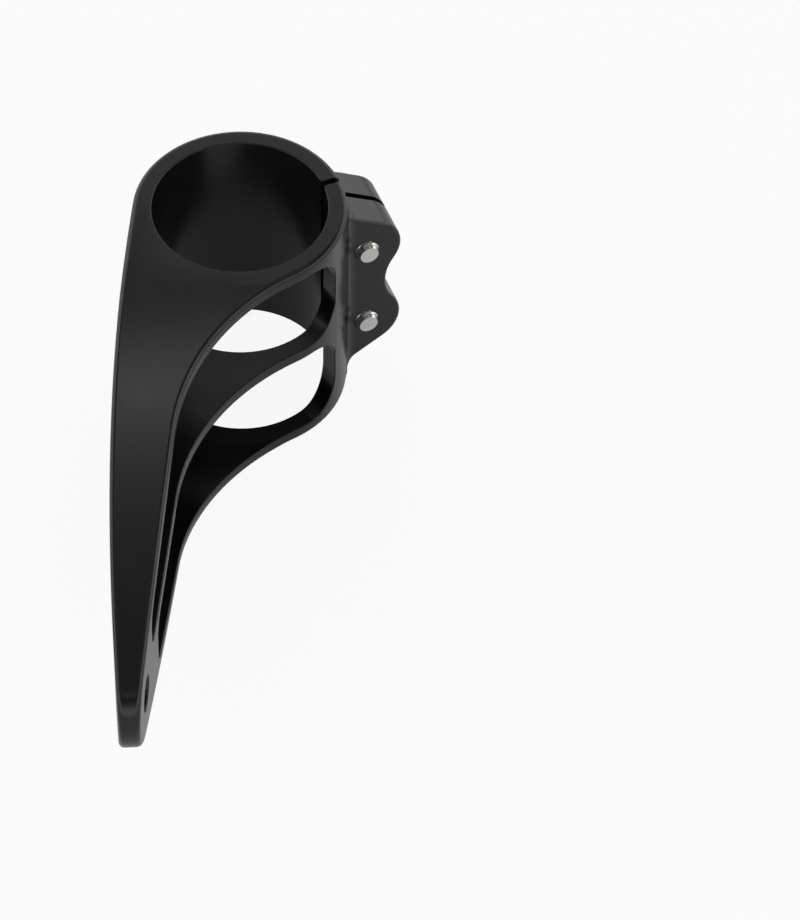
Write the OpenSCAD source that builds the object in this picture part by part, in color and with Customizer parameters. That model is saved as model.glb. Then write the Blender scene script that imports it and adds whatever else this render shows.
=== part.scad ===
// Headlight bracket for a motorbike fork tube.
// One machined piece: a split clamp barrel, two clamp ears with two lobes each,
// and a long tapered arm of three blades that ends in a lug for the headlight bolt.
// Z is the axis of the fork tube, the arm runs towards -Y, and the mid-height is at z = 0.
// Apart from the ends of the slots it is the same above and below its mid-height.

/* [Clamp barrel] */
// Diameter of the fork tube that the barrel clamps
fork_d = 41; // [35:0.5:54]
// Wall of the barrel
barrel_wall = 4.5; // [3:0.5:8]
// Height of the barrel along the fork tube
barrel_h = 58; // [50:1:80]
// Break on the two inner rims of the bore
rim_break = 0.6; // [0.2:0.1:1.5]

/* [Arm] */
// Distance from the bore axis to the headlight bolt hole
reach = 119.2; // [90:0.1:150]
// How far the arm's outboard side stands out past the barrel
outset = 8.1; // [4:0.1:14]
// How far before the bolt hole the outboard side is at its widest
widest_before = 14.2; // [5:0.1:30]
// Thickness of the lug at the bolt hole
lug_t = 6.85; // [5:0.1:12]
// Angle between the arm's flat inboard side and the line of the arm
inboard_angle = 8.9; // [4:0.1:12]
// Radius of the hollow sweep that joins the inboard side to the barrel
sweep_r = 58; // [45:1:75]
// Distance from the bore axis at which the top and bottom faces start to fall
fall_start = 25; // [20:0.5:30]
// Slope of the top and bottom faces where the fall starts
fall_angle = 2.9; // [1:0.1:5]
// Diameter of the rounded end of the lug
lug_d = 23.5; // [18:0.5:30]
// Diameter of the headlight bolt hole
lug_hole_d = 8.5; // [6:0.1:12]

/* [Slots] */
// Thickness of the top and bottom blades
blade_t = 3.4; // [2.5:0.1:5]
// Thickness of the middle blade
mid_t = 3; // [2:0.1:5]
// Depth of the slots from the flat inboard side
slot_depth = 5; // [3:0.1:6]
// Distance from the bolt hole's axis to the end of the upper slot
slot_stop = 11.2; // [10.5:0.1:25]
// Distance from the bolt hole's axis to the end of the lower slot
slot_stop_low = 19.7; // [10.5:0.1:30]
// Corner radius at the tip end of the slots
slot_r = 4.2; // [1:0.1:4.2]
// Direction of the windows' near end, seen from the bore axis
window_from = -23; // [-35:1:-20]
// Direction in which the windows' near end is cut
window_dir = -60; // [-75:1:-50]
// Corner radius at the windows' near end
window_r = 8.5; // [4:0.5:10]

/* [Clamp ears] */
// Direction of the slit, seen from the bore axis
slit_dir = 18; // [5:1:30]
// Width of the slit between the two ears
slit_w = 1.2; // [0.8:0.1:3]
// Thickness of each ear, from the middle of the slit
ear_t = 8.5; // [7:0.1:12]
// Depth to which the seats of the screw heads are sunk in their ear
seat_deep = 1.1; // [0.5:0.1:2]
// Distance between the two clamp screws
screw_pitch = 24; // [20:0.5:32]
// Distance from the barrel's outside to the screw axes
screw_out = 3.35; // [3:0.05:5]
// Radius of the lobe around each screw
lobe_r = 8.65; // [7.5:0.05:10]
// How far the waist between the lobes lies in from their tips
waist_in = 3.7; // [2:0.1:5]
// Slope of the ears' upper and lower flanks
flank_angle = 30; // [20:1:45]
// Radius of the hollow between the flanks and the barrel
root_r = 5; // [2:0.1:6]
// How far inside the barrel's surface that hollow starts
root_in = 0.3; // [0.2:0.1:1]
// How far the ears stay below the barrel's top and bottom
ear_drop = 1; // [0.5:0.1:4]
// Radius of the upright fillet between the tapped ear and the barrel
ear_foot_r = 3; // [1.5:0.1:5]
// Clearance around the screw heads, where the pockets are cut in the barrel
head_room = 2; // [1:0.1:2.5]

/* [Screws] */
// Thread diameter of the clamp screws
screw_d = 6; // [5:1:6]
// Length of the clamp screws under the head
screw_l = 18; // [14:1:20]
// Diameter of the screw head
head_d = 10; // [8.5:0.5:10]
// Height of the screw head
head_h = 6; // [5:0.5:8]
// Width across flats of the hexagon socket
hex_af = 5; // [4:0.5:6]
// Depth of the hexagon socket
hex_deep = 3; // [2:0.5:4]
// Bevel on the screw's end
tip_bevel = 0.5; // [0.3:0.1:1.2]
// Radial clearance of the screws in the ear under the heads
shank_gap = 0.3; // [0.1:0.05:0.5]
// Radial clearance of the screws in the tapped ear
thread_gap = 0.05; // [0.02:0.01:0.1]

/* [Hidden] */
$fn = 96;
over = 1;
far = 3 * reach;

bore_r = fork_d / 2;
barrel_r = bore_r + barrel_wall;
top_z = barrel_h / 2;
lug_r = lug_d / 2;

// Outboard side: one large arc, tangent to the barrel and widest just before the bolt hole
wide_x = barrel_r + outset;
wide_y = reach - widest_before;
out_r = (wide_x * wide_x + wide_y * wide_y - barrel_r * barrel_r) / (2 * (wide_x - barrel_r));
out_c = [out_r - wide_x, -wide_y];
lug_out_x = out_c.x - sqrt(out_r * out_r - widest_before * widest_before);

// Inboard side: a straight line from the lug, then a hollow arc tangent to it and to the barrel
lug_in = [lug_out_x + lug_t, -reach];
run = [sin(inboard_angle), cos(inboard_angle)];
side = [cos(inboard_angle), -sin(inboard_angle)];
sweep_q = lug_in + sweep_r * side;
sweep_b = sweep_q * run;
sweep_c = sweep_q + run * (-sweep_b - sqrt(sweep_b * sweep_b - sweep_q * sweep_q + pow(barrel_r + sweep_r, 2)));
sweep_on_line = sweep_c - sweep_r * side;
sweep_on_barrel = sweep_c * barrel_r / norm(sweep_c);

// Top face: one large arc from the start of the fall, tangent to the round end of the lug
fall_n = [sin(fall_angle), -cos(fall_angle)];
fall_w = [reach - fall_start, top_z];
fall_r = (lug_r * lug_r - fall_w * fall_w) / (2 * (fall_w * fall_n + lug_r));
fall_c = [-fall_start, top_z] + fall_r * fall_n;
fall_on_lug = fall_c + fall_r * ([-reach, 0] - fall_c) / norm([-reach, 0] - fall_c);

// Slots between the blades
slot_lo = mid_t / 2;
slot_hi = top_z - blade_t;
slot_arc = fall_r - blade_t;
floor_p = lug_in - slot_depth * side;
window_s = bore_r * cos(window_from - window_dir - 90);

// Ears, in the frame of the slit: x out from the bore axis, y across the slit
screw_x = barrel_r + screw_out;
screw_z = screw_pitch / 2;
ear_in = barrel_r - barrel_wall / 2;
ear_top = top_z - ear_drop;
seat_t = ear_t - seat_deep;
flank_n = [sin(flank_angle), cos(flank_angle)];
flank_p = [screw_x, screw_z] + lobe_r * flank_n;
root_x = sqrt(barrel_r * barrel_r - ear_t * ear_t) - root_in;
root_c = [root_x + root_r, flank_p.y + (root_r - flank_n.x * (root_x + root_r - flank_p.x)) / flank_n.y];
root_p = root_c - root_r * flank_n;
waist_x = screw_x + lobe_r - waist_in;
waist_d = waist_x - screw_x;
waist_r = (waist_d * waist_d + screw_z * screw_z - lobe_r * lobe_r) / (2 * (lobe_r - waist_d));
foot_c = [sqrt(pow(barrel_r + ear_foot_r, 2) - pow(ear_t + ear_foot_r, 2)), -ear_t - ear_foot_r];
foot_on_barrel = foot_c * barrel_r / norm(foot_c);

// Straight-sided wedge that holds the arm, seen from above
module arm_wedge() {
  translate([0, 0, -top_z - over]) linear_extrude(barrel_h + 2 * over)
    polygon([[-wide_x - over, 0], [0, 0], sweep_on_barrel, sweep_c, sweep_on_line,
      lug_in - (lug_d / cos(inboard_angle)) * run, [-wide_x - over, -reach - lug_d]]);
}

// Top and bottom faces of the arm, with the round end of the lug
module arm_fall() {
  translate([-2 * wide_x, 0, 0]) rotate([90, 0, 90]) {
    intersection() {
      linear_extrude(4 * wide_x) polygon([[over, -top_z], [over, top_z], [fall_on_lug.x, top_z],
        fall_on_lug, [-reach, 0], [fall_on_lug.x, -fall_on_lug.y], [fall_on_lug.x, -top_z]]);
      translate([fall_c.x, fall_c.y, -over]) cylinder(r = fall_r, h = 4 * wide_x + 2 * over, $fn = 1080);
      translate([fall_c.x, -fall_c.y, -over]) cylinder(r = fall_r, h = 4 * wide_x + 2 * over, $fn = 1080);
    }
    translate([-reach, 0, 0]) cylinder(r = lug_r, h = 4 * wide_x);
  }
}

module arm() {
  intersection() {
    difference() {
      intersection() {
        arm_wedge();
        arm_fall();
      }
      translate([sweep_c.x, sweep_c.y, -top_z - 2 * over]) cylinder(r = sweep_r, h = barrel_h + 4 * over, $fn = 360);
    }
    translate([out_c.x, out_c.y, -top_z - 2 * over]) cylinder(r = out_r, h = barrel_h + 4 * over, $fn = 720);
  }
}

// Upper slot seen from the side: its ceiling follows the arc of the top face
module slot_side(end) {
  low_c = [end + slot_r, slot_lo + slot_r];
  top_c = [end + slot_r, fall_c.y + sqrt(pow(slot_arc - slot_r, 2) - pow(end + slot_r - fall_c.x, 2))];
  top_dir = (top_c - fall_c) / norm(top_c - fall_c);
  difference() {
    intersection() {
      translate([end, slot_lo]) square([barrel_r - end, slot_hi - slot_lo]);
      translate(fall_c) circle(r = slot_arc, $fn = 1080);
    }
    difference() {
      translate([end - over, slot_lo - over]) square(slot_r + over);
      translate(low_c) circle(r = slot_r);
    }
    difference() {
      polygon([top_c, top_c + [-slot_r - over, 0], top_c + [-slot_r - over, slot_r + over],
        top_c + (slot_r + over) * top_dir]);
      translate(top_c) circle(r = slot_r);
    }
  }
}

// Near end of the upper window, x out along its end's normal and y along Z
module window_end() {
  translate([-far, slot_lo]) square([far + window_s - window_r, slot_hi - slot_lo]);
  translate([0, slot_lo + window_r]) square([window_s, slot_hi - slot_lo - 2 * window_r]);
  for (z = [slot_lo + window_r, slot_hi - window_r])
    translate([window_s - window_r, z]) circle(r = window_r);
}

// The slot, and the window that it opens in the barrel
module slot_cut(end) {
  intersection() {
    translate([0, 0, -over]) linear_extrude(top_z + 2 * over)
      polygon([floor_p + run * (-floor_p.y / run.y), floor_p - run * far, [far, -far], [far, 0]]);
    translate([far / 2, 0, 0]) rotate([0, 0, 180]) mirror([0, 1, 0])
      rotate([90, 0, 90]) linear_extrude(far) slot_side(end);
    rotate([0, 0, window_dir + 90]) rotate([90, 0, 0]) translate([0, 0, -over]) linear_extrude(far) window_end();
  }
}

// Outline of both ears, x out from the bore axis and y along Z
module ear_side() {
  difference() {
    union() {
      for (s = [-1, 1]) translate([screw_x, s * screw_z]) circle(r = lobe_r);
      intersection() {
        translate([ear_in, -ear_top]) square([barrel_r, 2 * ear_top]);
        polygon([
          [ear_in, -root_c.y], [root_x, -root_c.y], [root_c.x, -root_c.y], [root_p.x, -root_p.y],
          [flank_p.x, -flank_p.y], [screw_x, -screw_z], [waist_x + waist_r, 0], [screw_x, screw_z],
          flank_p, root_p, root_c, [root_x, root_c.y], [ear_in, root_c.y]]);
      }
    }
    translate([waist_x + waist_r, 0]) circle(r = waist_r);
    for (s = [-1, 1]) translate([root_c.x, s * root_c.y]) circle(r = root_r);
  }
}

// Upright fillet between the tapped ear and the barrel, seen from above
module ear_foot() {
  difference() {
    polygon([[ear_in, -ear_t + over], [foot_c.x, -ear_t + over], foot_c,
      foot_on_barrel, foot_on_barrel * (1 - barrel_wall / barrel_r / 2)]);
    translate(foot_c) circle(r = ear_foot_r);
  }
}

module ears() {
  rotate([90, 0, 0]) translate([0, 0, -ear_t]) linear_extrude(2 * ear_t) ear_side();
  intersection() {
    translate([0, 0, -top_z]) linear_extrude(barrel_h) ear_foot();
    rotate([90, 0, 0]) linear_extrude(ear_t + 2 * ear_foot_r) ear_side();
  }
}

// One clamp screw's holes and the pocket for its head
module screw_holes() {
  rotate([-90, 0, 0]) {
    cylinder(r = screw_d / 2 + shank_gap, h = ear_t + over, $fn = 48);
    translate([0, 0, seat_t]) cylinder(r = head_d / 2 + head_room, h = far, $fn = 64);
  }
  rotate([90, 0, 0]) cylinder(r = screw_d / 2 + thread_gap, h = ear_t + ear_foot_r + over, $fn = 48);
}

module bore() {
  translate([0, 0, -top_z - over]) cylinder(r = bore_r, h = barrel_h + 2 * over);
  for (s = [0, 1]) mirror([0, 0, s]) translate([0, 0, top_z - rim_break])
    cylinder(r1 = bore_r, r2 = bore_r + rim_break + over, h = rim_break + over);
}

module bracket() {
  color("#1b1b1c") difference() {
    union() {
      translate([0, 0, -top_z]) cylinder(r = barrel_r, h = barrel_h);
      arm();
      rotate([0, 0, slit_dir]) ears();
    }
    bore();
    slot_cut(slot_stop - reach);
    mirror([0, 0, 1]) slot_cut(slot_stop_low - reach);
    rotate([0, 0, slit_dir]) {
      translate([bore_r / 2, -slit_w / 2, -top_z - over]) cube([far, slit_w, barrel_h + 2 * over]);
      for (s = [-1, 1]) translate([screw_x, 0, s * screw_z]) screw_holes();
    }
    translate([-wide_x - over, -reach, 0]) rotate([0, 90, 0]) cylinder(r = lug_hole_d / 2, h = wide_x, $fn = 64);
  }
}

// One socket-head screw: its seat under the head is at z = 0 and its head points to +Z
module cap_screw() {
  difference() {
    union() {
      cylinder(r = head_d / 2, h = head_h, $fn = 64);
      translate([0, 0, tip_bevel - screw_l]) cylinder(r = screw_d / 2, h = screw_l - tip_bevel + over, $fn = 48);
      translate([0, 0, -screw_l]) cylinder(r1 = screw_d / 2 - tip_bevel, r2 = screw_d / 2, h = tip_bevel, $fn = 48);
    }
    translate([0, 0, head_h - hex_deep]) cylinder(r = hex_af / sqrt(3), h = hex_deep + over, $fn = 6);
  }
}

module clamp_screws() {
  color("#b8b8b4") rotate([0, 0, slit_dir])
    for (s = [-1, 1]) translate([screw_x, seat_t, s * screw_z]) rotate([-90, 0, 0]) cap_screw();
}

bracket();
clamp_screws();
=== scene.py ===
import bpy, bmesh, math
import numpy as np
from mathutils import Matrix, Vector


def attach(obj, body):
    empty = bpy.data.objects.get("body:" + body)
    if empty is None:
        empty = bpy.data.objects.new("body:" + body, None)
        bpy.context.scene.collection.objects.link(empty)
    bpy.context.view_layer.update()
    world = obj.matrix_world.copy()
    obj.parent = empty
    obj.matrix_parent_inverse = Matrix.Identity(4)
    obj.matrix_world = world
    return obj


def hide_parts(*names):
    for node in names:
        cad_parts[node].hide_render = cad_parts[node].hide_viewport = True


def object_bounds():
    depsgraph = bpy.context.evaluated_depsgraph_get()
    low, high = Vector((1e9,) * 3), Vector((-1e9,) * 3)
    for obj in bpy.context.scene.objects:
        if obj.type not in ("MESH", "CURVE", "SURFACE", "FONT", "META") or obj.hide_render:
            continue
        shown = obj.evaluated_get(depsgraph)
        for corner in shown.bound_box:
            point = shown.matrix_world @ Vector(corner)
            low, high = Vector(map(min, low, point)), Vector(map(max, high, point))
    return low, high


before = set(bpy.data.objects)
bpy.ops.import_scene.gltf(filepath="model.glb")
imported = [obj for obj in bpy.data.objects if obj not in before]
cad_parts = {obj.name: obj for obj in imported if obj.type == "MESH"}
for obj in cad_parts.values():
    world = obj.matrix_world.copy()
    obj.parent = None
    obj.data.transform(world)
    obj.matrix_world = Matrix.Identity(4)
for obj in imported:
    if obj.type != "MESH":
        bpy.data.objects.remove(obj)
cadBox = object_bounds()
mm = 0.001

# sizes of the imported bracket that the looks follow, in mm and degrees
body = {"boreR": 20.5, "barrelR": 25.0, "topZ": 29.0, "reach": 119.2, "lugR": 11.75, "lugAngle": 8.9, "holeR": 4.25,
        "outset": 8.1, "widestBefore": 14.2, "arcEnd": 3.83, "fallStart": 25.0, "fallAngle": 2.9,
        "slitDir": 18.0, "slitW": 1.2, "earT": 8.5, "footR": 3.0, "seatT": 7.4, "seatR": 7.0,
        "screwX": 28.35, "screwZ": 12.0, "screwHoleR": 3.3, "rimBreak": 0.6}

# the clamp's own directions: out of the bore along the slit, and across it towards the screws' heads
slitTurn = math.radians(body["slitDir"])
slitOut = np.array([math.cos(slitTurn), math.sin(slitTurn), 0.0])
slitAcross = np.array([-math.sin(slitTurn), math.cos(slitTurn), 0.0])


class Wave:
    # one socket whose value varies over the surface, so that plain sums and products make Math nodes
    def __init__(self, nodes, socket):
        self.nodes, self.socket = nodes, socket

    def math(self, operation, a, b):
        return self.nodes.add("ShaderNodeMath", {"operation": operation}, {0: a, 1: b})

    def __add__(self, other): return self.math("ADD", self, other)
    def __radd__(self, other): return self.math("ADD", other, self)
    def __mul__(self, other): return self.math("MULTIPLY", self, other)


class Nodes:
    # the node tree of one material, or of the world
    def __init__(self, name, owner=None):
        self.owner = owner or bpy.data.materials.new(name)
        self.owner.use_nodes = True
        self.tree = self.owner.node_tree
        self.tree.nodes.clear()

    # node type, then its settings, then the values or links of its sockets; gives the chosen output back
    def add(self, kind, settings=None, sockets=None, out=0):
        node = self.tree.nodes.new(kind)
        for key, value in (settings or {}).items():
            if key == "stops":
                self.setStops(node.color_ramp, value)
            else:
                setattr(node, key, value)
        for key, value in (sockets or {}).items():
            if isinstance(value, Wave):
                self.tree.links.new(value.socket, node.inputs[key])
            else:
                node.inputs[key].default_value = value
        return Wave(self, node.outputs[out])

    def setStops(self, ramp, stops):
        while len(ramp.elements) < len(stops):
            ramp.elements.new(0.5)
        for stop, (place, grey) in zip(ramp.elements, stops):
            stop.position, stop.color = place, (grey, grey, grey, 1)

    def finish(self, shader, kind="ShaderNodeOutputMaterial"):
        self.tree.links.new(shader.socket, self.tree.nodes.new(kind).inputs["Surface"])
        return self.owner


# Camera, in degrees and metres from the middle of the barrel's top. The focal length, the point straight ahead
# and the place of the barrel's middle are in pixels of the picture
camera = {"az": -2.08, "el": 49.11, "roll": -0.74, "distance": 1.1593, "focal": 5000.0,
          "centre": (255.0, 440.0), "origin": (239.82, 206.49), "picture": (800.0, 920.0),
          "sensor": 36.0, "clip": (0.05, 50.0)}


def makeCamera(c):
    az, el, roll = (math.radians(c[k]) for k in ("az", "el", "roll"))
    look = Vector((-math.sin(az) * math.cos(el), math.cos(az) * math.cos(el), -math.sin(el)))
    side = look.cross(Vector((0, 0, 1))).normalized()
    up = side.cross(look)
    side, up = side * math.cos(roll) + up * math.sin(roll), up * math.cos(roll) - side * math.sin(roll)
    wide, high = c["picture"]
    data = bpy.data.cameras.new("camera")
    data.sensor_width, data.sensor_fit = c["sensor"], "AUTO"
    data.lens = c["focal"] * c["sensor"] / high
    data.shift_x = (wide / 2 - c["centre"][0]) / high
    data.shift_y = (c["centre"][1] - high / 2) / high
    data.clip_start, data.clip_end = c["clip"]
    right = (c["origin"][0] - c["centre"][0]) / c["focal"]
    above = (c["centre"][1] - c["origin"][1]) / c["focal"]
    place = Vector((0, 0, body["topZ"] * mm)) - (look + side * right + up * above) * c["distance"]
    cam = bpy.data.objects.new("camera", data)
    cam.matrix_world = Matrix(((side.x, up.x, -look.x, place.x), (side.y, up.y, -look.y, place.y),
                               (side.z, up.z, -look.z, place.z), (0, 0, 0, 1)))
    bpy.context.collection.objects.link(cam)
    bpy.context.scene.camera = cam


makeCamera(camera)
print("camera placed")


# Satin black finish: a coat with fine grain, whose gloss varies a little in blotches
anodised = {"dark": (0.003, 0.0036, 0.0034, 1), "light": (0.006, 0.0068, 0.0062, 1), "ior": 1.48,
            "roughness": 0.19, "byBlotch": 0.06, "byGrain": 0.04, "grain": 0.000006,
            "blotchScale": 120.0, "grainScale": 3500.0}


def anodisedAluminium(c):
    n = Nodes("anodised_aluminium_look")
    place = n.add("ShaderNodeTexCoord", out=3)
    blotch = n.add("ShaderNodeTexNoise", {}, {"Vector": place, "Scale": c["blotchScale"], "Detail": 4.0,
                                              "Roughness": 0.6})
    grain = n.add("ShaderNodeTexNoise", {}, {"Vector": place, "Scale": c["grainScale"], "Detail": 2.0,
                                             "Roughness": 0.6})
    colour = n.add("ShaderNodeMix", {"data_type": "RGBA"}, {0: blotch, 6: c["dark"], 7: c["light"]}, out=2)
    rough = c["roughness"] + blotch * c["byBlotch"] + grain * c["byGrain"]
    bump = n.add("ShaderNodeBump", {}, {"Strength": 1.0, "Distance": c["grain"], "Height": grain})
    return n.finish(n.add("ShaderNodeBsdfPrincipled", {}, {"Base Color": colour, "Roughness": rough,
                                                           "IOR": c["ior"], "Normal": bump}))


# Turned stainless steel, with faint scratches
steel = {"dark": (0.62, 0.61, 0.59, 1), "light": (0.80, 0.79, 0.76, 1), "roughness": 0.16, "byBlotch": 0.08,
         "byScratch": 0.08, "scratch": 0.000004, "blotchScale": 600.0, "scratchScale": 5000.0}


def stainlessSteel(c):
    n = Nodes("stainless_steel_look")
    place = n.add("ShaderNodeTexCoord", out=3)
    blotch = n.add("ShaderNodeTexNoise", {}, {"Vector": place, "Scale": c["blotchScale"], "Detail": 5.0,
                                              "Roughness": 0.65})
    scratch = n.add("ShaderNodeTexNoise", {}, {"Vector": place, "Scale": c["scratchScale"], "Detail": 2.0,
                                               "Roughness": 0.5})
    colour = n.add("ShaderNodeMix", {"data_type": "RGBA"}, {0: blotch, 6: c["dark"], 7: c["light"]}, out=2)
    rough = c["roughness"] + blotch * c["byBlotch"] + scratch * c["byScratch"]
    bump = n.add("ShaderNodeBump", {}, {"Strength": 1.0, "Distance": c["scratch"], "Height": scratch})
    return n.finish(n.add("ShaderNodeBsdfPrincipled", {}, {"Base Color": colour, "Metallic": 1.0,
                                                           "Roughness": rough, "Normal": bump}))


blackFinish = anodisedAluminium(anodised)
steelFinish = stainlessSteel(steel)
print("finishes made")


# Bracket: width of the rounding on each kind of edge, in mm. Edges flatter than sharpFrom stay as they are, and
# those still sharper than keepSharp afterwards are shaded sharp, in degrees. Seen and earOut are what the picture
# shows a little different from the solid, in mm
bracketLook = {"inboard": 1.25, "outboard": 1.2, "barrel": 1.2, "ear": 0.85, "slot": 0.4, "hole": 0.4, "slit": 0.0,
               "pocket": 0.15, "rim": 0.08, "segments": 4, "sharpFrom": 24.0, "keepSharp": 32.0, "flatWithin": 0.3,
               "faceLead": 90, "rimBreakSeen": 0.2, "slitSeen": 1.6, "earOut": 0.6}
# how the code tells the solid's edges and points apart: how far each may lie from its surface, and where the slit,
# the ears' seam, foot and edges begin, along the slit from the bore's axis, in mm; turn is in degrees
within = {"weld": 0.001, "merge": 0.01, "point": 0.02, "curve": 0.03, "hair": 0.05, "edge": 0.1, "seam": 0.25,
          "hole": 0.3, "outer": 0.6, "rim": 0.7, "turn": 12.0, "slope": 0.01, "end": 1.0,
          "slitFrom": 18.0, "seamFrom": 20.0, "footFrom": 22.2, "earFrom": 22.5, "earSpread": 4.0, "earBelow": 0.5,
          "faceBelow": 0.9}


# Outboard side's arc: the x of its surface at each y, in mm
def outboardX(y, b=body):
    wideX, wideY = b["barrelR"] + b["outset"], b["reach"] - b["widestBefore"]
    r = (wideX ** 2 + wideY ** 2 - b["barrelR"] ** 2) / (2 * (wideX - b["barrelR"]))
    return r - wideX - np.sqrt(r ** 2 - (y + wideY) ** 2)


# Half height of the arm at each y, in mm: flat over the barrel, then one large arc, then the round end
def halfHeight(y, b=body):
    nx, nz = math.sin(math.radians(b["fallAngle"])), -math.cos(math.radians(b["fallAngle"]))
    wx, wz = b["reach"] - b["fallStart"], b["topZ"]
    r = (b["lugR"] ** 2 - wx ** 2 - wz ** 2) / (2 * (wx * nx + wz * nz + b["lugR"]))
    cx, cz = -b["fallStart"] + r * nx, b["topZ"] + r * nz
    onArc = cz + np.sqrt(np.maximum(r ** 2 - (y - cx) ** 2, 0))
    onEnd = np.sqrt(np.maximum(b["lugR"] ** 2 - (y + b["reach"]) ** 2, 0))
    joinY = cx + r * (-b["reach"] - cx) / math.hypot(-b["reach"] - cx, cz)
    return np.where(y > -b["fallStart"], b["topZ"], np.where(y > joinY, onArc, onEnd))


# Width of the rounding on each edge, in mm, from the place of its middle and the angle between its faces
def edgeWidths(mid, angle, b=body, e=bracketLook, w=within):
    x, y, z = mid.T
    u, v, height, fromAxis = mid @ slitOut, mid @ slitAcross, np.abs(z), np.hypot(x, y)
    fromScrew = np.hypot(u - b["screwX"], height - b["screwZ"])
    width = np.full(len(mid), e["slot"])
    outer = height > halfHeight(y) - w["outer"]
    width[outer] = e["inboard"]
    width[outer & (x < outboardX(np.minimum(y, 0)) + w["outer"])] = e["outboard"]
    width[outer & (np.abs(fromAxis - b["barrelR"]) < w["edge"])] = e["barrel"]
    onEar = (u > w["earFrom"]) & (np.abs(v) < b["earT"] + w["earSpread"])
    width[onEar & (height < b["topZ"] - w["earBelow"])] = e["ear"]
    onSeam = (np.abs(fromAxis - b["barrelR"]) < w["seam"]) & (u > w["seamFrom"])
    width[onSeam & (height < b["topZ"] - w["hair"])] = 0
    width[onEar & (fromScrew < b["screwHoleR"] + w["hole"])] = e["pocket"]
    width[(np.abs(fromScrew - b["seatR"]) < w["edge"]) & (v > b["seatT"] - w["edge"])] = e["pocket"]
    width[(np.abs(v) < e["slitSeen"] / 2 + w["hair"]) & (u > w["slitFrom"])] = e["slit"]
    width[np.hypot(y + b["reach"], z) < b["holeR"] + w["hole"]] = e["hole"]
    width[(fromAxis < b["boreR"] + w["rim"]) & (height > b["topZ"] - w["rim"])] = e["rim"]
    return np.where(angle > math.radians(e["sharpFrom"]), width, 0)


# The points of the lug's two rims around its round end, each rim in order from below to above
def endRims(place, b=body, w=within):
    x, y, z = place.T
    end = (np.abs(np.hypot(y + b["reach"], z) - b["lugR"]) < w["merge"]) & (y < -b["reach"])
    onOut = np.abs(x - outboardX(y)) < w["point"]
    turn = np.arctan2(z, -y - b["reach"])
    rims = [np.flatnonzero(end & side) for side in (onOut, ~onOut)]
    return [rim[np.argsort(turn[rim])] for rim in rims]


# Small corrections to the points of the solid, in mm, before its edges are rounded
def touchedUp(place, rims, b=body, e=bracketLook, w=within):
    place = place.copy()
    # the outboard arc runs on to where it meets the barrel without a step
    x, y, z = place.T
    near = (np.abs(np.hypot(x, y) - b["barrelR"]) < w["point"]) & (x < 0) & (y > -w["merge"]) & (y < b["arcEnd"])
    x[near] = outboardX(y[near])
    # round end of the lug: the points of its two rims are spread evenly and stand opposite each other
    slope, corner = math.tan(math.radians(b["lugAngle"])), rims[1][0]
    faceX = x[corner] - y[corner] * slope
    for rim, onLug in zip(rims, (outboardX, lambda y: faceX + y * slope)):
        first, last = np.arctan2(z[rim[[0, -1]]], -y[rim[[0, -1]]] - b["reach"])
        even = np.linspace(first, last, len(rim))
        y[rim], z[rim] = -b["reach"] - b["lugR"] * np.cos(even), b["lugR"] * np.sin(even)
        x[rim] = onLug(y[rim])
    # the break on the bore's rims looks finer than in the solid, and the slit a little wider
    bore, height = np.hypot(x, y), np.abs(z)
    top = (np.abs(bore - b["boreR"] - b["rimBreak"]) < w["merge"]) & (height > b["topZ"] - w["merge"])
    low = (np.abs(bore - b["boreR"]) < w["merge"]) & (np.abs(height - b["topZ"] + b["rimBreak"]) < w["merge"])
    place[top, :2] *= (b["boreR"] + e["rimBreakSeen"]) / (b["boreR"] + b["rimBreak"])
    z[low] = np.sign(z[low]) * (b["topZ"] - e["rimBreakSeen"])
    u, v = place @ slitOut, place @ slitAcross
    slit = (np.abs(np.abs(v) - b["slitW"] / 2) < w["point"]) & (u > w["slitFrom"])
    place[slit] += (np.sign(v[slit]) * (e["slitSeen"] - b["slitW"]) / 2)[:, None] * slitAcross
    # the tapped ear looks thicker, so its face moves out, and the rounding at its foot follows, less and less
    onFace = (v < -b["earT"] + w["merge"]) & (v > -b["earT"] - b["footR"])
    onFace &= (u > w["footFrom"]) & (height < b["topZ"] - w["faceBelow"])
    share = 1 + (v[onFace] + b["earT"]) / b["footR"]
    place[onFace] -= (e["earOut"] * share)[:, None] * slitAcross
    return place


# Normals of the corners on the arm's two large arcs and on the lug's round end follow those surfaces exactly
def arcNormals(place, normals, b=body, w=within):
    x, y, z = place.T
    step, endY, arcEnd = w["slope"], -b["reach"], b["arcEnd"] - w["curve"]
    armY = np.minimum(y, arcEnd)
    rise = (halfHeight(y + step) - halfHeight(y - step)) / (2 * step)
    lean = (outboardX(armY + step) - outboardX(armY - step)) / (2 * step)
    zero, one = np.zeros_like(x), np.ones_like(x)
    onTop = (np.abs(np.abs(z) - halfHeight(y)) < w["curve"]) & (y > endY + w["end"])
    onEnd = (np.abs(np.hypot(y - endY, z) - b["lugR"]) < w["curve"]) & (y < endY - w["end"])
    onOut = (np.abs(x - outboardX(armY)) < w["curve"]) & (y < arcEnd)
    ways = (zero, -rise, np.sign(z)), (zero, y - endY, z), (-one, lean, zero)
    for on, way in zip((onTop, onEnd, onOut), ways):
        way = np.stack(way, 1)[on]
        way /= np.linalg.norm(way, axis=1)[:, None]
        near = (way * normals[on]).sum(1) > math.cos(math.radians(w["turn"]))
        normals[on] = np.where(near[:, None], way, normals[on])
    return normals


# Points of a mesh in mm, as rows of x, y, z
def pointsOf(mesh):
    place = np.zeros(len(mesh.vertices) * 3)
    mesh.vertices.foreach_get("co", place)
    return place.reshape(-1, 3) / mm


# Gives the piece the mesh that its modifiers make, and takes them off
def workIn(piece):
    piece.data = bpy.data.meshes.new_from_object(piece.evaluated_get(bpy.context.evaluated_depsgraph_get()))
    piece.modifiers.clear()
    return piece.data


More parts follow.
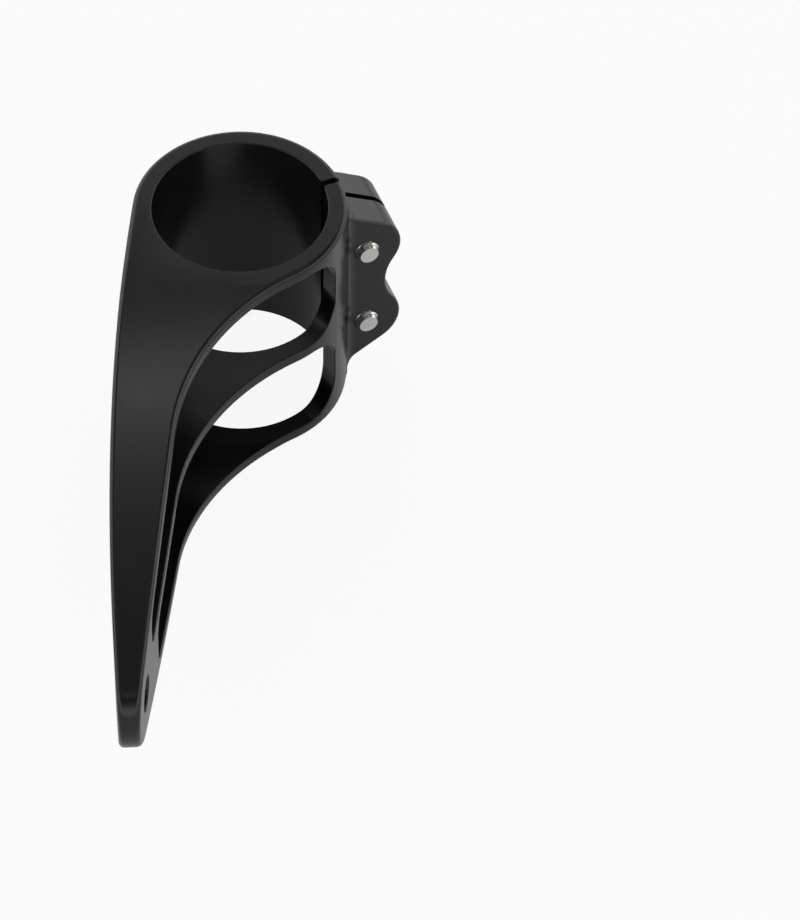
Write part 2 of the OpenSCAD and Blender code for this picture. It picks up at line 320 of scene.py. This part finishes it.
# The lug's round end gets one plain quad between each two neighbours on its rims
def plainEnd(made, rims):
    made.verts.ensure_lookup_table()
    outer, inner = ([made.verts[k] for k in rim] for rim in rims)
    both = set(outer), set(inner)
    old = [face for face in made.faces if set(face.verts) <= both[0] | both[1]
           and all(set(face.verts) & rim for rim in both)]
    bmesh.ops.delete(made, geom=old, context="FACES_ONLY")
    bmesh.ops.delete(made, geom=[edge for edge in made.edges if not edge.link_faces], context="EDGES")
    for corners in zip(outer, outer[1:], inner[1:], inner):
        made.faces.new(corners)
    bmesh.ops.recalc_face_normals(made, faces=made.faces)


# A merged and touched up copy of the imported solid, with the width of the rounding as a weight on each edge
def bracketMesh(e=bracketLook, w=within):
    mesh = bpy.data.meshes.new("bracket_body")
    made = bmesh.new()
    made.from_mesh(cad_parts["bracket"].data)
    bmesh.ops.remove_doubles(made, verts=made.verts, dist=w["weld"] * mm)
    made.to_mesh(mesh)
    place = pointsOf(mesh)
    rims = endRims(place)
    mesh.vertices.foreach_set("co", (touchedUp(place, rims) * mm).ravel())
    made.clear()
    made.from_mesh(mesh)
    plainEnd(made, rims)
    bmesh.ops.remove_doubles(made, verts=made.verts, dist=w["merge"] * mm)
    bmesh.ops.dissolve_limit(made, angle_limit=math.radians(e["flatWithin"]), verts=made.verts, edges=made.edges)
    mid = np.array([(edge.verts[0].co + edge.verts[1].co) / 2 for edge in made.edges]) / mm
    width = edgeWidths(mid, np.array([edge.calc_face_angle(0) for edge in made.edges]))
    made.to_mesh(mesh)
    made.free()
    mesh.attributes.new("bevel_weight_edge", "FLOAT", "EDGE").data.foreach_set("value", width / e["inboard"])
    mesh.polygons.foreach_set("use_smooth", np.ones(len(mesh.polygons), bool))
    mesh.materials.clear()
    mesh.materials.append(blackFinish)
    print("bracket:", len(mesh.vertices), "points,", int((width > 0).sum()), "edges rounded")
    return mesh


def bracketPiece(e=bracketLook):
    piece = bpy.data.objects.new("bracket_body", bracketMesh())
    bpy.context.collection.objects.link(piece)
    bevel = piece.modifiers.new("rounded edges", "BEVEL")
    bevel.limit_method, bevel.width, bevel.segments = "WEIGHT", e["inboard"] * mm, e["segments"]
    bevel.use_clamp_overlap = False
    bevel.loop_slide = False
    workIn(piece).set_sharp_from_angle(angle=math.radians(e["keepSharp"]))
    lead = piece.modifiers.new("large faces lead", "WEIGHTED_NORMAL")
    lead.mode, lead.weight, lead.keep_sharp = "FACE_AREA_WITH_ANGLE", e["faceLead"], True
    mesh = workIn(piece)
    mesh.name = "bracket_body"
    normals = np.zeros(len(mesh.loops) * 3)
    mesh.corner_normals.foreach_get("vector", normals)
    corner = np.zeros(len(mesh.loops), int)
    mesh.loops.foreach_get("vertex_index", corner)
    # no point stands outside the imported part's box
    place = np.clip(pointsOf(mesh), np.array(cadBox[0]) / mm, np.array(cadBox[1]) / mm)
    mesh.vertices.foreach_set("co", (place * mm).ravel())
    mesh.normals_split_custom_set(arcNormals(place[corner], normals.reshape(-1, 3)).tolist())
    return piece


bracket = bracketPiece()
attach(bracket, "root")
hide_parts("bracket")


# Clamp screws, in mm. The thread's rings stand pitch / perPitch apart and end below the head, at threadEnd, and
# edges sharper than creaseFrom, in degrees, are shaded sharp
screw = {"d": 6.0, "length": 18.0, "headD": 10.0, "headH": 6.0, "hexAf": 5.0, "hexDeep": 3.0, "hexCone": 0.75,
         "tipBevel": 0.75, "tipSlope": 0.5, "pitch": 1.0, "perPitch": 10, "threadStart": 0.06, "threadEnd": 0.6,
         "threadDeep": 0.42, "teeth": 60, "toothDeep": 0.16, "headRound": 0.5, "knurlRings": 4, "rimRings": 6,
         "creaseFrom": 38.0, "around": 240}


# A closed grid of points: rings of z and radius, each ring once around the axis, with a radius that may vary
# with the angle; the first and the last ring shrink to a point
def turnedGrid(rings, around):
    turn = np.linspace(0, 2 * np.pi, around, endpoint=False)
    points = np.concatenate([np.stack([r * np.cos(turn), r * np.sin(turn), np.full(around, z)], 1)
                             for z, r in rings])
    row, col = np.meshgrid(np.arange(len(rings) - 1), np.arange(around), indexing="ij")
    a, b = (row * around + col).ravel(), (row * around + (col + 1) % around).ravel()
    return points, np.stack([a, b, b + around, a + around], 1)


# One screw about z, seat under its head at z = 0, head up. Head: a cylinder whose radius is lowered by a
# straight knurl between two rounded rims. Socket: a hexagon, r = af / 2 / cos(angle from the flat's middle).
# Thread: radius lowered by a triangle wave of z / pitch - angle / turn, faded out at the bevelled end.
def screwGrid(s):
    turn = np.linspace(0, 2 * np.pi, s["around"], endpoint=False)
    shankR, headR, top = s["d"] / 2, s["headD"] / 2, s["headH"]
    hexR = s["hexAf"] / 2 / np.cos(turn % (np.pi / 3) - np.pi / 6)
    tooth = s["toothDeep"] * (0.5 + 0.5 * np.cos(s["teeth"] * turn))
    rings = [(-s["length"], 0), (-s["length"], shankR - s["tipBevel"])]
    for z in np.arange(-s["length"] + s["threadStart"], -s["threadEnd"], s["pitch"] / s["perPitch"]):
        wave = np.abs(((z / s["pitch"] - turn / (2 * np.pi)) % 1) * 2 - 1)
        thread = shankR - s["threadDeep"] * np.clip(wave * 1.25 - 0.12, 0, 1)  # a little flat at crest and root
        rings.append((z, np.minimum(thread, shankR - s["tipBevel"] + s["tipSlope"] * (z + s["length"]))))
    # the neck under the head, the seat, and the head's lower rim
    rings += [(-0.35, shankR - 0.05), (-0.05, shankR), (0, shankR + 0.1), (0, headR - 0.35), (0.12, headR - 0.1)]
    rings += [(0.3, headR - 0.05 - 0.3 * tooth)]
    roundZ = top - s["headRound"]
    rings += [(z, headR - tooth) for z in np.linspace(0.6, roundZ - 0.35, s["knurlRings"])]
    # the round upper rim, where the knurl fades out
    for a in np.linspace(0, np.pi / 2, s["rimRings"]):
        rings.append((roundZ + s["headRound"] * np.sin(a),
                      headR - 0.04 - s["headRound"] * (1 - np.cos(a)) - 0.3 * tooth * (1 - np.sin(a))))
    # the flat top, the socket's bevelled mouth, its walls and its conical floor
    floorZ = top - s["hexDeep"]
    rings += [(top, headR - s["headRound"] - 0.35), (top, hexR + 0.25), (top - 0.22, hexR)]
    rings += [(floorZ + 0.1, hexR), (floorZ, hexR - 0.1), (floorZ - 0.05, 0.86 * s["hexAf"] / 2)]
    rings += [(floorZ - s["hexCone"], 0)]
    return turnedGrid(rings, s["around"])


def screwsPiece(b=body, s=screw):
    points, quads = screwGrid(s)
    # the screw's x points out along the slit, its y down and its head across the slit
    up = np.array([0, 0, 1.0])
    both, faces = [], []
    for k, side in enumerate((-1, 1)):
        seat = b["screwX"] * slitOut + b["seatT"] * slitAcross + side * b["screwZ"] * up
        both.append(seat + points @ np.stack([slitOut, -up, slitAcross]))
        faces.append(quads + k * len(points))
    mesh = bpy.data.meshes.new("clamp_screw_pair")
    mesh.from_pydata((np.concatenate(both) * mm).tolist(), [], np.concatenate(faces).tolist())
    made = bmesh.new()
    made.from_mesh(mesh)
    bmesh.ops.remove_doubles(made, verts=made.verts, dist=0.002 * mm)  # the rings that shrink to a point
    bmesh.ops.recalc_face_normals(made, faces=made.faces)
    made.to_mesh(mesh)
    made.free()
    mesh.polygons.foreach_set("use_smooth", np.ones(len(mesh.polygons), bool))
    mesh.set_sharp_from_angle(angle=math.radians(s["creaseFrom"]))
    mesh.materials.append(steelFinish)
    piece = bpy.data.objects.new("clamp_screw_pair", mesh)
    bpy.context.collection.objects.link(piece)
    print("screws:", len(mesh.polygons), "faces")
    return piece


screws = screwsPiece()
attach(screws, "root")
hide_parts("clamp_screws")


# Floor and light, in metres and watts. floorGlow is the share of plain white that camera, mirrored and passed rays
# see. The sky is an even dome, dark below the horizon and in a round gap that the top faces mirror. Its stops are
# over (1 + sine of the height) / 2, and the gap's over the cosine of the angle from its middle, where a soft ring
# gives the light patch along the arm. Lamps: name, place, aim, diameter and power
studio = {"floor": (0.95, 0.95, 0.95, 1), "floorR": 1.6, "floorSides": 96, "floorBelow": 0.00005,
          "floorRough": (0.85, 0.1), "speckScale": 400.0, "floorGlow": (0.92, 0.2, 0.92),
          "sky": 1.4, "skyStops": [(0.49, 0.08), (0.54, 1.0)],
          "gapAt": (0.02, -0.17, 0.985),
          "gapStops": [(0.50, 1.0), (0.59, 0.25), (0.66, 0.07), (0.75, 0.0), (0.80, 0.07), (0.85, 0.5),
                       (0.90, 0.25), (0.94, 0.13)],
          "lamps": [("back_high", (0.0, 0.555, 1.175), (0, -0.055, 0), 0.2, 0.25)]}


def makeFloor(s):
    turn = np.linspace(0, 2 * np.pi, s["floorSides"], endpoint=False)
    level = np.full_like(turn, -body["topZ"] * mm - s["floorBelow"])
    rim = np.stack([s["floorR"] * np.cos(turn), s["floorR"] * np.sin(turn), level], 1)
    mesh = bpy.data.meshes.new("studio_floor")
    mesh.from_pydata(rim.tolist(), [], [list(range(len(rim)))])
    n = Nodes("studio_floor_look")
    place = n.add("ShaderNodeTexCoord", out=3)
    speck = n.add("ShaderNodeTexNoise", {}, {"Vector": place, "Scale": s["speckScale"], "Detail": 2.0})
    rough, more = s["floorRough"]
    paint = n.add("ShaderNodeBsdfPrincipled", {}, {"Base Color": s["floor"], "Roughness": rough + speck * more,
                                                   "Specular IOR Level": 0.0})
    # the camera, and what mirrors or lets light through, see the floor near white; the shadow stays in the paint
    rays = [n.add("ShaderNodeLightPath", out=k) for k in ("Is Camera Ray", "Is Glossy Ray", "Is Transmission Ray")]
    glow = n.add("ShaderNodeEmission", {}, {"Color": (1, 1, 1, 1), "Strength": 1.0})
    share = sum(ray * part for ray, part in zip(rays, s["floorGlow"]))
    mesh.materials.append(n.finish(n.add("ShaderNodeMixShader", {}, {0: share, 1: paint, 2: glow})))
    floor = bpy.data.objects.new("studio_floor", mesh)
    bpy.context.collection.objects.link(floor)


def makeLamps(s):
    for name, place, aim, size, power in s["lamps"]:
        data = bpy.data.lights.new(name, "AREA")
        data.shape, data.size, data.energy = "DISK", size, power
        lamp = bpy.data.objects.new(name, data)
        lamp.location = place
        lamp.rotation_euler = (Vector(aim) - Vector(place)).to_track_quat("-Z", "Y").to_euler()
        bpy.context.collection.objects.link(lamp)


def makeSky(s):
    world = bpy.data.worlds.new("studio")
    bpy.context.scene.world = world
    world.use_nodes = True
    n = Nodes("studio_sky", world)
    way = n.add("ShaderNodeTexCoord")
    height = n.add("ShaderNodeSeparateXYZ", {}, {0: way}, out=2) * 0.5 + 0.5
    toGap = n.add("ShaderNodeVectorMath", {"operation": "DOT_PRODUCT"}, {0: way, 1: s["gapAt"]}, out=1)
    dome = n.add("ShaderNodeValToRGB", {"stops": s["skyStops"]}, {0: height})
    gap = n.add("ShaderNodeValToRGB", {"stops": s["gapStops"]}, {0: toGap})
    both = n.add("ShaderNodeMix", {"data_type": "RGBA", "blend_type": "MULTIPLY"}, {0: 1.0, 6: dome, 7: gap}, out=2)
    n.finish(n.add("ShaderNodeBackground", {}, {"Color": both, "Strength": s["sky"]}), "ShaderNodeOutputWorld")


makeFloor(studio)
makeLamps(studio)
makeSky(studio)
bpy.context.scene.view_settings.view_transform = "Standard"
print("studio made")
